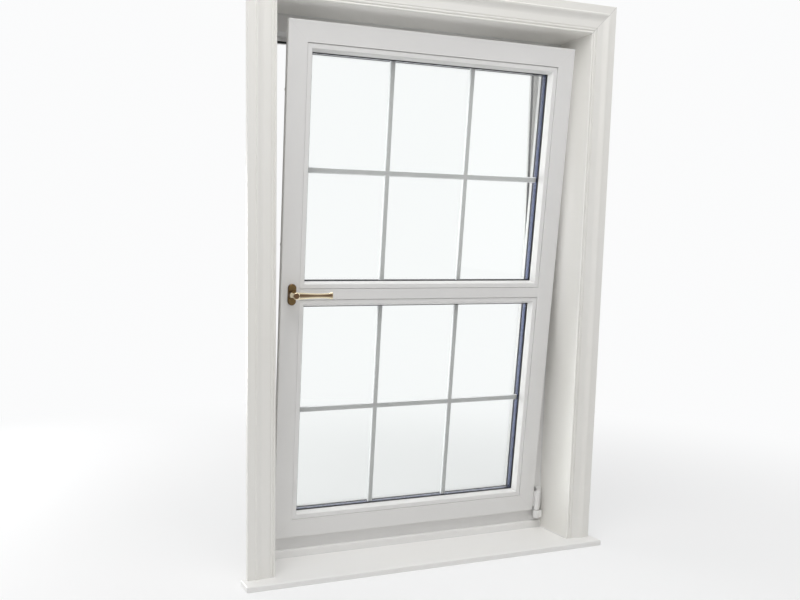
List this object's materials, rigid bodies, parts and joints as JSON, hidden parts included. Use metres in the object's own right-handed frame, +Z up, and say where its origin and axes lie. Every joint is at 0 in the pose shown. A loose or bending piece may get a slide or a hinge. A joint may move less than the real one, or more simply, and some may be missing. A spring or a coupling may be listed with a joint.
{
  "type": "tilt and turn window",
  "caption": "White tilt and turn window with divided double glazing and a brass lever, tilted into a lining with moulded architraves and a window board.",
  "frame": {"origin": "underside of the window board, in the middle, under the room face of the outer frame", "axes": "+X right seen from the room, +Y through the window to the outside, +Z up"},
  "size_m": [1.302, 0.285, 1.811],
  "materials": {
    "pvc": "satin white",
    "bead_pvc": "satin white",
    "sill_pvc": "satin white",
    "cap_plastic": "gloss white",
    "key_plastic": "white",
    "block_plastic": "blue",
    "board_paint": "white satin paint",
    "trim_paint": "white satin paint",
    "gasket": "black",
    "seal": "black",
    "pane": "clear",
    "spacer_metal": "dark grey",
    "bar_paint": "white coated",
    "galvanised": "galvanised",
    "hardware_steel": "zinc plated",
    "polished_brass": "polished"
  },
  "bodies": {
    "frame": {"outer_frame_head": "pvc", "outer_frame_sill": "pvc", "outer_frame_jamb_left": "pvc", "outer_frame_jamb_right": "pvc", "frame_reinforcement": "galvanised", "frame_gasket": "gasket", "drain_caps": "cap_plastic", "sill_profile": "sill_pvc", "window_board": "board_paint", "lining_left": "trim_paint", "lining_right": "trim_paint", "lining_head": "trim_paint", "architrave_head": "trim_paint", "architrave_left": "trim_paint", "architrave_right": "trim_paint", "keeps": "hardware_steel", "run_up_block": "cap_plastic", "corner_bearing": "hardware_steel", "corner_bearing_cover": "cap_plastic", "stay_bearing": "hardware_steel", "stay_bearing_cover": "cap_plastic"},
    "corner_pin": {"hinge_pin": "hardware_steel"},
    "sash": {"sash_top_rail": "pvc", "sash_bottom_rail": "pvc", "sash_stile_left": "pvc", "sash_stile_right": "pvc", "sash_mid_rail": "pvc", "sash_reinforcement": "galvanised", "glazing_beads_upper": "bead_pvc", "glazing_beads_lower": "bead_pvc", "inner_gaskets": "gasket", "outer_gaskets": "gasket", "inner_pane_upper": "pane", "outer_pane_upper": "pane", "inner_pane_lower": "pane", "outer_pane_lower": "pane", "spacer_upper": "spacer_metal", "spacer_lower": "spacer_metal", "edge_seals": "seal", "glazing_bars_upper": "bar_paint", "glazing_bars_lower": "bar_paint", "bar_end_keys": "key_plastic", "setting_blocks": "block_plastic", "sash_gasket": "gasket", "handle_rose": "polished_brass", "handle_screws": "hardware_steel", "gearbox": "hardware_steel", "faceplate": "hardware_steel", "sash_hardware_screws": "hardware_steel", "corner_drives": "hardware_steel", "stay_guide": "hardware_steel", "hinge_band": "hardware_steel", "hinge_band_cover": "cap_plastic"},
    "handle": {"handle_lever": "polished_brass", "spindle": "hardware_steel", "gear_pinion": "hardware_steel"},
    "drive": {"drive_rod": "hardware_steel", "locking_cams": "hardware_steel"},
    "stay": {"stay_arm": "hardware_steel"}
  },
  "joints": [
    {"name": "sash_tilt", "type": "hinge", "parent": "frame", "child": "corner_pin", "pos_m": [0.512, -0.024, 0.089], "axis": [-1, 0, 0], "range_deg": [0, 4.2]},
    {"name": "sash_turn", "type": "hinge", "parent": "corner_pin", "child": "sash", "pos_m": [0.512, -0.024, 0.089], "axis": [0, -0.0732, 0.9973], "range_deg": [0, 90]},
    {"name": "handle_turn", "type": "hinge", "parent": "sash", "child": "handle", "pos_m": [-0.465, -0.12397, 0.87679], "axis": [0, -0.9973, -0.0732], "range_deg": [-90, 90]},
    {"name": "drive_slide", "type": "slide", "parent": "sash", "child": "drive", "axis": [0, -0.0732, 0.9973], "range_m": [-0.0121, 0.0121]},
    {"name": "stay_swing", "type": "hinge", "parent": "sash", "child": "stay", "pos_m": [0.096, -0.08605, 1.65767], "axis": [0, -0.0732, 0.9973], "range_deg": [-15.9, 0]}
  ],
  "couplings": [
    {"joint": "drive_slide", "follows": "handle_turn", "m_per_rad": -0.0076394},
    {"joint": "stay_swing", "follows": "sash_tilt", "ratio": -3.7598}
  ]
}
